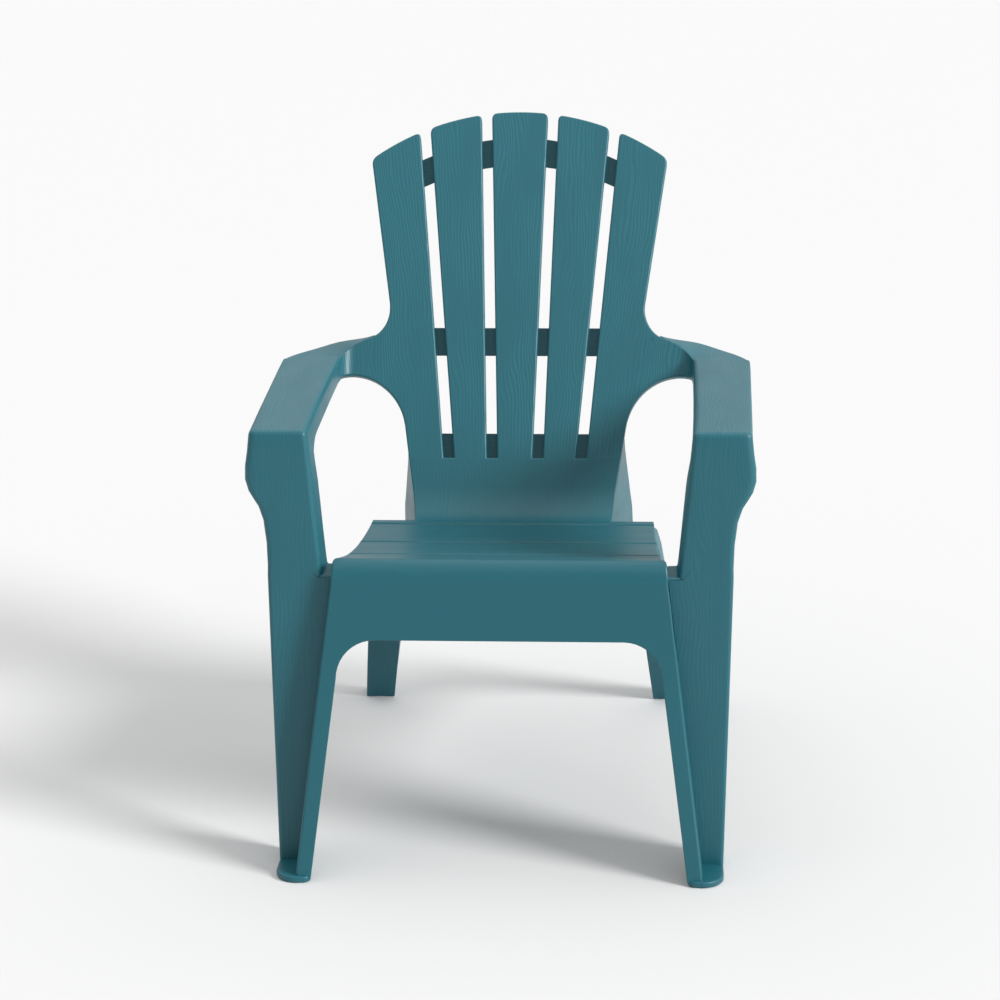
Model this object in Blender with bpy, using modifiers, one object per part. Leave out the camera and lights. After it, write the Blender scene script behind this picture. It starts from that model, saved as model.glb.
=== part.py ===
"""Adirondack garden chair, moulded in one piece in polypropylene, as the members that make up the moulding.

Metres, +Z up. The chair faces -Y, and X = 0 is its plane of symmetry. Left is the sitter's left, +X.
Lengths along Y are measured back from the toes of the front feet, and one empty then carries the whole
chair forward by half its depth, so that the origin is on the ground under the middle of the chair.
"""

import math

import bmesh
import bpy
from mathutils import Vector

# Driving dimensions
DEPTH = 0.796             # front toes to the back of the rear feet
BACK_TOP = 0.907          # top of the middle back slat
SEAT_LOW = 0.3665         # lowest line of the seat, at its rear
ARM_HEIGHT = 0.577        # top of the arms
WALL = 0.004              # thickness of the moulding
JOINT = 0.0003            # clearance between members that meet
FOOT_THICKNESS = 0.006
REAR_SOLE = 0.00015       # lifts the rear legs, whose splayed inner faces reach a little lower
LEG_BOTTOM = FOOT_THICKNESS + 0.0012   # where the front leg members stand on their foot

# Back: a flat fan of five slats
RECLINE = math.radians(26.15)
BACK_FOOT = 0.296         # where the plane of the back would reach the ground
FAN_APEX = -0.500         # height at which all the edges of the fan would meet
INNER_GAP, OUTER_GAP, FAN_EDGE = 0.0346, 0.1002, 0.1608   # sideways rise of each line per metre of height
GAP_WIDTH = 0.015
CROWN_RADIUS = 0.360      # arc that the tops of the slats lie on
SLAT_BOTTOM = 0.442
SLAT_DEPTH = 0.014
CORNER = 0.008
RAIL_WIDTH, RAIL_DROP, RAIL_SAG = 0.038, 0.0305, 0.035   # top rail: its width, how far it lies below the crown,
                                                        # and how much further for each metre to the side

# Seat
ROLL_START = 0.090        # where the seat turns over into the front apron
SEAT_REAR = 0.449
SEAT_GROOVES = (0.189, 0.309, 0.429)
SEAT_HALF_WIDTH = 0.1985  # at the rear edge
APRON_TOP, APRON_BOTTOM = 0.388, 0.312
KNEE_BOTTOM, KNEE_RADIUS = 0.262, 0.050

BACKWARD = Vector((0, math.cos(RECLINE), -math.sin(RECLINE)))   # square to the back, away from the sitter
FORWARD, UP, DOWN = Vector((0, -1, 0)), Vector((0, 0, 1)), Vector((0, 0, -1))
TEAL = (0.030, 0.144, 0.178, 1)


# The planes and lines that the members follow

def on_back(x, z, depth=0.0):
    """Point on the back at height z, depth behind its front face."""
    return Vector((x, BACK_FOOT + z * math.tan(RECLINE), z)) + BACKWARD * depth


def on_apron(x, z):
    """Point on the plane of the apron and of the front strips of the legs."""
    return Vector((x, 0.004 + 0.169 * z, z))


def on_front_panel(x, z, back=0.0):
    """Point on the broad panel that runs from each arm down to its front foot."""
    return Vector((x, 0.062 + 0.070 * z + back, z))


def on_rear_panel(x, z, back=0.0):
    """Point on the front face of a rear leg."""
    return Vector((x, 0.752 - 0.390 * z + back, z))


def fan(slope, z):
    return slope * (z - FAN_APEX)


def crown(x):
    """Height of the arc of the slat tops at x."""
    return BACK_TOP - (CROWN_RADIUS - math.sqrt(CROWN_RADIUS**2 - x**2)) * math.cos(RECLINE)


def leg_outside(z):
    """Outer face of the wall that joins the strip of a front leg to its panel."""
    return 0.2642 - 0.123 * z


def leg_inside(z):
    return 0.2441 - 0.130 * z


def seat_height(y):
    return SEAT_LOW + 0.343 * (0.455 - y) ** 2


def seat_half(y):
    """Half width of the seat, which flares out where it meets the front legs."""
    flare = 0.005 * (max(0.0, SEAT_GROOVES[0] - y) / 0.110) ** 2
    return SEAT_HALF_WIDTH + 0.029 * (SEAT_REAR - y) + flare


# Makers

def clear_scene():
    for thing in list(bpy.data.objects):
        bpy.data.objects.remove(thing, do_unlink=True)


def plastic(name):
    """A matt moulded plastic in the colour of the chair."""
    made = bpy.data.materials.new(name)
    made.use_nodes = True
    shader = made.node_tree.nodes["Principled BSDF"]
    shader.inputs["Base Color"].default_value = TEAL
    shader.inputs["Roughness"].default_value = 0.45
    shader.inputs["Metallic"].default_value = 0.0
    return made


def add_member(name, shape, shown, thickness):
    """Object from an open surface, thickened away from the side that shows."""
    shape.normal_update()
    if sum((face.normal * face.calc_area() for face in shape.faces), Vector()).dot(shown) < 0:
        bmesh.ops.reverse_faces(shape, faces=shape.faces)
    mesh = bpy.data.meshes.new(name)
    shape.to_mesh(mesh)
    shape.free()
    member = bpy.data.objects.new(name, mesh)
    chair.objects.link(member)
    member.parent = carrier
    mesh.materials.append(plastic(name))
    wall = member.modifiers.new("wall", "SOLIDIFY")
    wall.thickness = thickness
    wall.offset = -1
    wall.use_even_offset = True
    return member


def sheet(name, sections, shown, thickness=WALL):
    """Shell lofted through sections, each a row of as many points."""
    shape = bmesh.new()
    rows, columns = len(sections), len(sections[0])
    bmesh.ops.create_grid(shape, x_segments=columns - 1, y_segments=rows - 1, size=0.5)
    for vertex in shape.verts:
        column = round((vertex.co.x + 0.5) * (columns - 1))
        row = round((vertex.co.y + 0.5) * (rows - 1))
        vertex.co = sections[row][column]
    return add_member(name, shape, shown, thickness)


def plate(name, outline, shown, thickness=WALL, rim=None):
    """Flat plate from its outline. A rim turns the whole edge over by that vector, which makes a tray."""
    shape = bmesh.new()
    face = shape.faces.new([shape.verts.new(point) for point in outline])
    if rim:
        turned = bmesh.ops.extrude_edge_only(shape, edges=face.edges[:])
        new_vertices = [item for item in turned["geom"] if isinstance(item, bmesh.types.BMVert)]
        bmesh.ops.translate(shape, verts=new_vertices, vec=rim)
        bmesh.ops.recalc_face_normals(shape, faces=shape.faces)
    return add_member(name, shape, shown, thickness)


def arc(centre, radius, start, end, steps=6):
    """Points (u, v) along an arc of a circle, in degrees, or of an ellipse where radius is a pair."""
    across, along = radius if isinstance(radius, tuple) else (radius, radius)
    turns = [math.radians(start + (end - start) * step / steps) for step in range(steps + 1)]
    return [(centre[0] + across * math.cos(turn), centre[1] + along * math.sin(turn)) for turn in turns]


def rounded(corners, radius, steps=3):
    """Outline of a four-sided shape with its corners rounded off."""
    outline = []
    for index, corner in enumerate(corners):
        before, after = corners[index - 1], corners[(index + 1) % len(corners)]
        start = corner + (before - corner).normalized() * radius
        end = corner + (after - corner).normalized() * radius
        for step in range(steps + 1):
            t = step / steps
            outline.append(start * (1 - t) ** 2 + corner * 2 * t * (1 - t) + end * t**2)
    return outline


# Members of the back

def crown_end(slope, shift):
    """Height at which a slat's edge reaches the arc of the tops."""
    z = BACK_TOP
    for _ in range(6):
        z = crown(fan(slope, z) + shift)
    return z


def back_slat(name, left, right):
    """Slat between two edges, each the slope of a line of the fan and a shift to one side of it."""
    corners = [on_back(fan(slope, SLAT_BOTTOM) + shift, SLAT_BOTTOM) for slope, shift in (left, right)]
    for slope, shift in (right, left):
        top = crown_end(slope, shift)
        corners.append(on_back(fan(slope, top) + shift, top))
    lower, upper = corners[:2], rounded(corners, CORNER)[8:]
    plate(name, lower + upper, -BACKWARD, rim=BACKWARD * SLAT_DEPTH)


def back_slats():
    half = GAP_WIDTH / 2
    lines = [(-FAN_EDGE, 0.0), (-OUTER_GAP, -half), (-OUTER_GAP, half), (-INNER_GAP, -half), (-INNER_GAP, half)]
    lines += [(-slope, -shift) for slope, shift in reversed(lines)]
    names = ("right_outer", "right_inner", "middle", "left_inner", "left_outer")
    for index, name in enumerate(names):
        back_slat("back_slat_" + name, lines[2 * index], lines[2 * index + 1])


def back_rails():
    """Three rails that cross behind the slats."""
    depth = SLAT_DEPTH + JOINT
    for name, low, high in (("middle", 0.5800, 0.6170), ("lower", 0.4360, 0.4765)):
        half = fan(FAN_EDGE, low) - 0.012
        plate(f"back_rail_{name}", [on_back(x, z, depth) for x, z in
                                    ((-half, low), (half, low), (half, high), (-half, high))], -BACKWARD)
    half, steps = 0.190, 10
    places = [half * (2 * step / steps - 1) for step in range(steps + 1)]
    sections = [[on_back(x, crown(x) - RAIL_DROP - RAIL_SAG * abs(x) - width, depth) for x in places]
                for width in (RAIL_WIDTH, 0)]
    sheet("back_rail_top", sections, -BACKWARD)


def back_panel():
    """Solid foot of the back, curving forward into the seat."""
    fillet_top = on_back(0, 0.405)
    bend = on_back(0, SEAT_LOW)
    end = Vector((0, SEAT_REAR + JOINT, SEAT_LOW))
    profile = [on_back(0, SLAT_BOTTOM - JOINT)]
    for step in range(7):
        t = step / 6
        profile.append(fillet_top * (1 - t) ** 2 + bend * 2 * t * (1 - t) + end * t**2)
    sections = []
    for point in profile:
        half = fan(FAN_EDGE, point.z)
        sections.append([point + Vector((half * side, 0, 0)) for side in (-1, 0, 1)])
    sheet("back_panel", sections, FORWARD + UP)


WING_TOP = ((0.2220, 0.5960), (0.2310, 0.5920), (0.2450, 0.5830), (0.2515, 0.5770))


def back_wing(side, label):
    """Web in the plane of the back that joins the outer slat to the arm."""
    upper = arc((0.222, 0.640), (0.038, 0.041), 190, 262)
    lower = arc((0.236, 0.470), 0.080, 90, 157)
    slat_side = [(fan(FAN_EDGE, z) + 2 * JOINT, z) for z in (lower[-1][1], upper[0][1])]
    outline = slat_side + upper + list(WING_TOP) + [(0.2515, 0.5465), (0.2440, 0.5500)] + lower
    plate("back_wing_" + label, [on_back(x * side, z) for x, z in outline], -BACKWARD)


# Members of the seat

def seat_slat(name, profile):
    sections = [[Vector((seat_half(y) * side, y, z)) for side in (-1, 0, 1)] for y, z in profile]
    sheet(name, sections, UP)


def seat_slats():
    roll = [(0.0697, APRON_TOP + JOINT), (0.0713, 0.3980), (0.0755, 0.4065), (0.0823, 0.4112)]
    edges = (ROLL_START,) + SEAT_GROOVES + (SEAT_REAR,)
    for index, name in enumerate(("front", "second", "third", "rear")):
        start = edges[index] + (JOINT if index else 0)
        end = edges[index + 1] - (JOINT if index < 3 else 0)
        places = [start + (end - start) * step / 4 for step in range(5)]
        profile = [(y, seat_height(y)) for y in places]
        seat_slat("seat_slat_" + name, profile if index else roll + profile)


def apron():
    """Front board of the seat, with the knees that lead into the legs."""
    knee = arc((0.160, KNEE_BOTTOM), KNEE_RADIUS, 0, 90)
    half = [(leg_outside(APRON_TOP), APRON_TOP), (leg_outside(KNEE_BOTTOM), KNEE_BOTTOM)] + knee
    outline = half + [(-x, z) for x, z in reversed(half)]
    plate("seat_apron", [on_apron(x, z) for x, z in outline], FORWARD)


def seat_skirt(side, label):
    """Side wall of the seat, from behind the front leg back to the rear leg."""
    sections = []
    for y, depth in ((0.110, 0.085), (0.160, 0.074), (0.230, 0.066), (0.310, 0.064), (0.390, 0.070), (0.449, 0.080)):
        top = seat_height(y) - WALL - 2 * JOINT
        sections.append([Vector((seat_half(y) * side, y, top)),
                         Vector(((seat_half(y) + 0.002) * side, y, top - depth))])
    for x_top, top, x_low, low, before in ((0.1975, 0.338, 0.2080, 0.262, 0.080), (0.1960, 0.306, 0.2090, 0.240, 0.0015)):
        sections.append([on_rear_panel(x_top * side, top, -before), on_rear_panel(x_low * side, low, -before)])
    sheet("seat_skirt_" + label, sections, Vector((side, 0, 0)))


# Members of the arms

ARM_INSIDE = ((0.2464, 0.1030), (0.2500, 0.3000), (0.2530, 0.5520), (0.2530, 0.5845))
ARM_OUTSIDE = ((0.3225, 0.1030, 0.577), (0.3277, 0.3000, 0.577), (0.3338, 0.5380, 0.577), (0.3316, 0.5570, 0.577),
               (0.3200, 0.5860, 0.577), (0.2960, 0.6200, 0.5780), (0.2640, 0.6420, 0.5835), (0.2230, 0.6400, 0.5915))


def arm_top(side, label):
    """Flat top, which sweeps inward at the rear along the upper edge of the wing."""
    behind = WALL + 2 * JOINT
    inside = [Vector((x, y, ARM_HEIGHT)) for x, y in ARM_INSIDE]
    inside += [on_back(x, z) + Vector((0, behind, 0)) for x, z in reversed(WING_TOP)]
    sections = []
    for inner, outer in zip(inside, ARM_OUTSIDE):
        ends = [Vector((point[0] * side, point[1], point[2])) for point in (inner, outer)]
        sections.append([ends[0], (ends[0] + ends[1]) / 2, ends[1]])
    sheet("arm_top_" + label, sections, UP)


def arm_inner_rail(side, label):
    under = ARM_HEIGHT - WALL - JOINT
    sections = []
    for x, y in ((0.2475, 0.1650), (0.2500, 0.3000), (0.2530, 0.5520), (0.2533, 0.5700)):
        sections.append([Vector((x * side, y, z)) for z in (under, ARM_HEIGHT - 0.033)])
    sheet("arm_inner_rail_" + label, sections, Vector((-side, 0, 0)))


def arm_outer_rail(side, label):
    """Outer edge of the arm, deepest where it meets the front panel."""
    sections = []
    starts = ((0.3243, 0.1650, 0.577), (0.3270, 0.2300, 0.577)) + ARM_OUTSIDE[1:]
    depths = (0.084, 0.062, 0.046, 0.036, 0.036, 0.034, 0.033, 0.032, 0.030)
    for (x, y, z), depth in zip(starts, depths):
        sections.append([Vector((x * side, y, z - WALL - 5 * JOINT)), Vector((x * side, y, z - depth))])
    sheet("arm_outer_rail_" + label, sections, Vector((side, 0, 0)))


# Members of the front legs

PANEL_STATIONS = (   # height, inner edge, outer edge, depth of the inner flange, depth of the outer flange
    (0.400, 0.2300, 0.3000, 0.060, 0.056), (0.430, 0.2330, 0.3010, 0.060, 0.058),
    (0.460, 0.2357, 0.3048, 0.060, 0.060), (0.478, 0.2374, 0.3110, 0.060, 0.060),
    (0.498, 0.2393, 0.3235, 0.060, 0.060), (0.515, 0.2408, 0.3284, 0.060, 0.060),
    (0.535, 0.2427, 0.3280, 0.060, 0.060), (0.555, 0.2446, 0.3250, 0.060, 0.060),
    (0.5725, 0.2461, 0.3230, 0.060, 0.060),
)


def front_panel(side, label):
    """Broad outer board of a front leg, from the foot to the arm, with a flange down each edge."""
    stations = [(z, leg_outside(z) - WALL, 0.291 + 0.024 * z, 0.012, 0.050)
                for z in (LEG_BOTTOM, 0.100, 0.200, 0.300, 0.388)]
    sections = []
    for z, inner, outer, inner_flange, outer_flange in stations + list(PANEL_STATIONS):
        sections.append([on_front_panel(inner * side, z, inner_flange), on_front_panel(inner * side, z),
                         on_front_panel(outer * side, z), on_front_panel(outer * side, z, outer_flange)])
    sheet("front_leg_panel_" + label, sections, FORWARD)


def front_strip(side, label):
    """Narrow front face of a front leg, below the knee of the apron."""
    high = KNEE_BOTTOM - JOINT
    outline = [(leg_inside(LEG_BOTTOM), LEG_BOTTOM), (leg_outside(LEG_BOTTOM), LEG_BOTTOM),
               (leg_outside(high), high), (leg_inside(high), high)]
    plate("front_leg_strip_" + label, [on_apron(x * side, z) for x, z in outline], FORWARD)


def front_web(side, label):
    """Side wall of a front leg, between its strip and its panel."""
    sections = []
    for z in (LEG_BOTTOM, 0.130, 0.262, 0.380):
        front, rear = on_apron(0, z).y + WALL + 3 * JOINT, on_front_panel(0, z).y - 2 * JOINT
        sections.append([Vector((leg_outside(z) * side, y, z)) for y in (front, rear)])
    sheet("front_leg_web_" + label, sections, Vector((side, 0, 0)))


def front_foot(side, label):
    """Sole plate that closes the bottom of a front leg."""
    inner, behind_strip = leg_inside(0), leg_outside(0) - WALL - 0.001
    outline = [(behind_strip, 0.112), (behind_strip, 0.0135), (inner, 0.0125)]
    outline += arc((inner + 0.010, 0.011), 0.010, 190, 270, 4)
    outline += arc((0.262, 0.033), (0.029, 0.033), 270, 360) + [(0.291, 0.112)]
    plate("front_foot_" + label, [Vector((x * side, y, 0)) for x, y in outline], DOWN, FOOT_THICKNESS)


# Members of the rear legs

def rear_web(side, label):
    """Wall that carries the edge of the back down and out to the rear leg, arched below the seat."""
    beside = WALL + 2 * JOINT
    sections = []
    for z, rear_z in ((0.440, 0.418), (0.420, 0.405), (0.400, 0.391), (0.368, 0.366)):
        front = on_back((fan(FAN_EDGE, z) + beside) * side, z)
        sections.append([front, on_rear_panel((0.170 - 0.110 * (rear_z - 0.320)) * side, rear_z, -5 * JOINT)])
    for x, y, z in ((0.1550, 0.558, 0.315), (0.1635, 0.600, 0.275), (0.1725, 0.647, 0.215), (0.1800, 0.684, 0.155)):
        rear = on_rear_panel((0.170 + 0.075 * (0.320 - z)) * side, z, -5 * JOINT)
        sections.append([Vector((x * side, y, z)), rear])
    sheet("rear_leg_web_" + label, sections, Vector((side, 0, 0)))


REAR_STATIONS = (   # height, inner edge, outer edge, depth of the outer flange
    (0.3070, 0.1697, 0.1760, 0.008), (0.3000, 0.1706, 0.1910, 0.032), (0.2880, 0.1722, 0.2025, 0.062),
    (0.260, 0.1740, 0.2090, 0.068), (0.200, 0.1780, 0.2190, 0.062), (0.150, 0.1825, 0.2280, 0.057),
    (0.105, 0.1870, 0.2360, 0.053), (0.050, 0.1940, 0.2405, 0.048), (REAR_SOLE, 0.2005, 0.2440, 0.0438),
)


def rear_panel(side, label):
    """Front face and outer flange of a rear leg, down to the ground."""
    sections = []
    for z, inner, outer, flange in REAR_STATIONS:
        sections.append([on_rear_panel(inner * side, z), on_rear_panel(outer * side, z),
                         on_rear_panel((outer + 0.002) * side, z, flange)])
    sheet("rear_leg_panel_" + label, sections, FORWARD)


clear_scene()
chair = bpy.data.collections.new("adirondack_chair")
bpy.context.scene.collection.children.link(chair)
carrier = bpy.data.objects.new("chair_frame", None)
carrier.location = (0, -DEPTH / 2, 0)
chair.objects.link(carrier)

back_slats()
back_rails()
back_panel()
seat_slats()
apron()
for hand, word in ((1, "left"), (-1, "right")):
    for member in (back_wing, seat_skirt, arm_top, arm_inner_rail, arm_outer_rail, front_panel, front_strip,
                   front_web, front_foot, rear_web, rear_panel):
        member(hand, word)
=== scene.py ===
"""Visual model of the moulded Adirondack chair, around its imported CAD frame.

Metres, +Z up. The chair faces -Y and X = 0 is its plane of symmetry. Lengths along Y are measured back from
the toes of the front feet, as "t", until a skin is finished; then everything moves forward onto the frame.
The moulding is built as a few open skins of faces that share their borders, which are thickened inward and
rounded along their edges, and then parted into the members that the CAD nodes name.
"""

import math

import bmesh
import bpy
from mathutils import Matrix, Vector


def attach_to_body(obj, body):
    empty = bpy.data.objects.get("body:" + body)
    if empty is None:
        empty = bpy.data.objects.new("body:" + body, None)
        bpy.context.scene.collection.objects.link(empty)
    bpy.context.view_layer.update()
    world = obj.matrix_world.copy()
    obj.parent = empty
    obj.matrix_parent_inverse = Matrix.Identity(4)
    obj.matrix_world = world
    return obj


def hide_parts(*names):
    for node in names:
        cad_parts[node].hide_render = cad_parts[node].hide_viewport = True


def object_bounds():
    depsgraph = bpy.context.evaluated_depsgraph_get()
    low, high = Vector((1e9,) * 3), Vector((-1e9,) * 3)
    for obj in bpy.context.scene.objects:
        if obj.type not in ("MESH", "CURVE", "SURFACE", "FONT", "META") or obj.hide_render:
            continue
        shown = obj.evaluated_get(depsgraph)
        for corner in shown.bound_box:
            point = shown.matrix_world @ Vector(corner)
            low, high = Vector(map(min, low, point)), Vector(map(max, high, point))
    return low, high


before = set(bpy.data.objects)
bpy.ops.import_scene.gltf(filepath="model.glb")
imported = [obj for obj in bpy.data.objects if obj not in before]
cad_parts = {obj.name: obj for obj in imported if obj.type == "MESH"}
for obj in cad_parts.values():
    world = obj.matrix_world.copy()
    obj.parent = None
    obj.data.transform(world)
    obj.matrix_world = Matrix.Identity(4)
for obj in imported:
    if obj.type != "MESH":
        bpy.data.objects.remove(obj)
cad_low, cad_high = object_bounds()

# Driving dimensions, the CAD part's own
TOES = cad_low.y
WALL = 0.004  # thickness of the moulding
RECLINE = math.radians(26.15)
BACK_FOOT = 0.296  # where the plane of the back would reach the ground
BACK_TOP = 0.907  # top of the middle slat
FAN_APEX = -0.5  # height at which all the edges of the fan would meet
INNER_GAP, OUTER_GAP, FAN_EDGE = 0.0346, 0.1002, 0.1608  # sideways rise of each line per metre of height
GAP_WIDTH = 0.015
CROWN_RADIUS = 0.36
SLAT_BOTTOM = 0.442
SLAT_DEPTH = 0.014
SLAT_CORNER = 0.008
PANEL_FLAT_TO = 0.405  # below this height the back curves into the seat
SEAT_LOW = 0.3665
SEAT_REAR = 0.449
SEAT_GROOVES = (0.189, 0.309, 0.429)
SEAT_DISH, SEAT_LOWEST = 0.343, 0.455  # bend of the seat, and where along it the seat is lowest
SEAT_HALF, SEAT_TAPER = 0.1985, 0.029  # half width at the rear, and what it gains per metre forward
FLARE, FLARE_LENGTH = 0.0052, 0.11  # what the front slat gains besides, and over which length
ROLL_START = 0.0915  # where the seat turns over into the apron
ROLL_OVER, ROLL_DOWN = (0, -0.0135, 0.0034), (0, 0.0024, 0.014)  # pulls on the curve of that turn
APRON_TOP = 0.388
KNEE_BOTTOM, KNEE_RADIUS, KNEE_FROM = 0.262, 0.05, 0.16
ARM_HEIGHT = 0.577
LEG_FOOT = 0.004  # where the front leg members stand in their foot

# Straight lines seen from the side or the front: the place at the ground, and its change per metre of height
APRON_PLANE = (0.004, 0.169)
FRONT_PANEL_PLANE = (0.062, 0.07)
REAR_PANEL_PLANE = (0.752, -0.39)
LEG_OUTSIDE = (0.2642, -0.123)
LEG_INSIDE = (0.2441, -0.13)

# Finish of the moulding
EDGE_ROUND = 0.0012  # free edges of the wall
FRONT_ROUND = 0.0026  # where a front face turns back into its rim
REAR_LEG_ROUND = 0.0035
SEAT_ROUND, SEAT_AREA = 0.0032, 0.42  # bends of the seat and apron lie below and before SEAT_AREA
GROOVE_ROUND, GROOVE_REACH, GROOVE_END = 0.0007, 0.008, 0.205  # radius, and which bends have it
ARM_OUTER_ROUND, ARM_TAIL_ROUND = 0.004, 0.0035
BULGE_ROUND, BELOW_BULGE_ROUND, PANEL_ROUND = 0.012, 0.008, 0.0045
ARM_INNER_ROUND, ARM_FRONT_ROUND = 0.0095, 0.0075
HOLLOW_ROUND = 0.0022  # inside corners of the side that shows
PLATE_ROUND, FOOT_ROUND = 0.0012, 0.0022
SMALLEST_ROUND = 0.0004  # bends with less than this stay sharp
ROUND_SEGMENTS = 4
GROOVE_HALF, GROOVE_DEPTH = 0.0055, 0.0045
GROOVE_FLOOR = 0.45  # share of the groove's width that is its floor
GRID_PER_METRE = 20000  # points that agree on a grid this fine are one corner
HOLE_CORNERS = 12  # a cut face may have as many corners
OUTSIDE, INSIDE = 0, 1  # sides of the wall; its edge is 2
SHARP = math.radians(38)

BACKWARD = Vector((0, math.cos(RECLINE), -math.sin(RECLINE)))
ALONG_BACK = Vector((0, math.sin(RECLINE), math.cos(RECLINE)))
X, Y, Z = Vector((1, 0, 0)), Vector((0, 1, 0)), Vector((0, 0, 1))


# Lines and planes that the members follow

def on_line(line, z):
    """Place at height z on a line given by its place at the ground and its change per metre."""
    return line[0] + line[1] * z


def on_back(x, z, depth=0.0):
    """Point of the plane of the back, or so deep behind it."""
    return Vector((x, BACK_FOOT + z * math.tan(RECLINE), z)) + BACKWARD * depth


def on_apron(x, z):
    return Vector((x, on_line(APRON_PLANE, z), z))


def on_front_panel(x, z):
    return Vector((x, on_line(FRONT_PANEL_PLANE, z), z))


def on_rear_panel(x, z, back=0.0):
    return Vector((x, on_line(REAR_PANEL_PLANE, z) + back, z))


def fan(slope, z):
    """Sideways place at height z of a line of the fan."""
    return slope * (z - FAN_APEX)


def crown(x):
    """Height of the arc along which the slats end."""
    return BACK_TOP - (CROWN_RADIUS - math.sqrt(CROWN_RADIUS**2 - x**2)) * math.cos(RECLINE)


def leg_outside(z):
    return on_line(LEG_OUTSIDE, z)


def leg_inside(z):
    return on_line(LEG_INSIDE, z)


def seat_height(t):
    return SEAT_LOW + SEAT_DISH * (SEAT_LOWEST - t) ** 2


def seat_half(t):
    flare = FLARE * (max(0.0, SEAT_GROOVES[0] - t) / FLARE_LENGTH) ** 2
    return SEAT_HALF + SEAT_TAPER * (SEAT_REAR - t) + flare


def arc(centre, radius, start, end, steps=8):
    """Points (u, v) along an arc, in degrees; an ellipse where radius is a pair."""
    across, along = radius if isinstance(radius, tuple) else (radius, radius)
    turns = [math.radians(start + (end - start) * step / steps) for step in range(steps + 1)]
    return [(centre[0] + across * math.cos(turn), centre[1] + along * math.sin(turn)) for turn in turns]


def bezier(a, b, c, d, steps):
    """Points of a cubic curve from a to d, pulled towards b and c."""
    made = []
    for step in range(steps + 1):
        s = step / steps
        made.append(a * (1 - s) ** 3 + b * 3 * s * (1 - s) ** 2 + c * 3 * s * s * (1 - s) + d * s**3)
    return made


def smooth_through(points, steps):
    """A smooth curve through points (vectors), with so many steps between each two."""
    made = [points[0].copy()]
    for index in range(len(points) - 1):
        p0 = points[max(0, index - 1)]
        p1, p2 = points[index], points[index + 1]
        p3 = points[min(len(points) - 1, index + 2)]
        for step in range(1, steps + 1):
            s = step / steps
            made.append(0.5 * (2 * p1 + (p2 - p0) * s + (2 * p0 - 5 * p1 + 4 * p2 - p3) * s**2
                               + (3 * p1 - p0 - 3 * p2 + p3) * s**3))
    return made


def interpolate(table, place):
    """Value at a place in rows of (place, value): straight between them, and level past the last."""
    for (p0, v0), (p1, v1) in zip(table, table[1:]):
        if place <= p1:
            return v0 + (v1 - v0) * (place - p0) / (p1 - p0)
    return table[-1][1]


def straight_through(points, steps):
    """The points with so many steps between each two."""
    made = [points[0].copy()]
    for start, end in zip(points, points[1:]):
        made += [start.lerp(end, step / steps) for step in range(1, steps + 1)]
    return made


# Skins

class Grain:
    """How the wood grain lies on a face: its origin, the directions across and along it, how far its lines
    bend into flames (0 to 1) and how deep it is (0 to 1)."""
    seeds = 0

    def __init__(self, origin, across, along, flame=1.0, relief=1.0):
        Grain.seeds += 1
        self.seed, self.flame, self.relief = Grain.seeds * 0.37, flame, relief
        self.origin, self.across, self.along = origin, across.normalized(), along.normalized()

    def at(self, point):
        offset = point - self.origin
        return Vector((offset.dot(self.across), offset.dot(self.along), self.seed))


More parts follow.
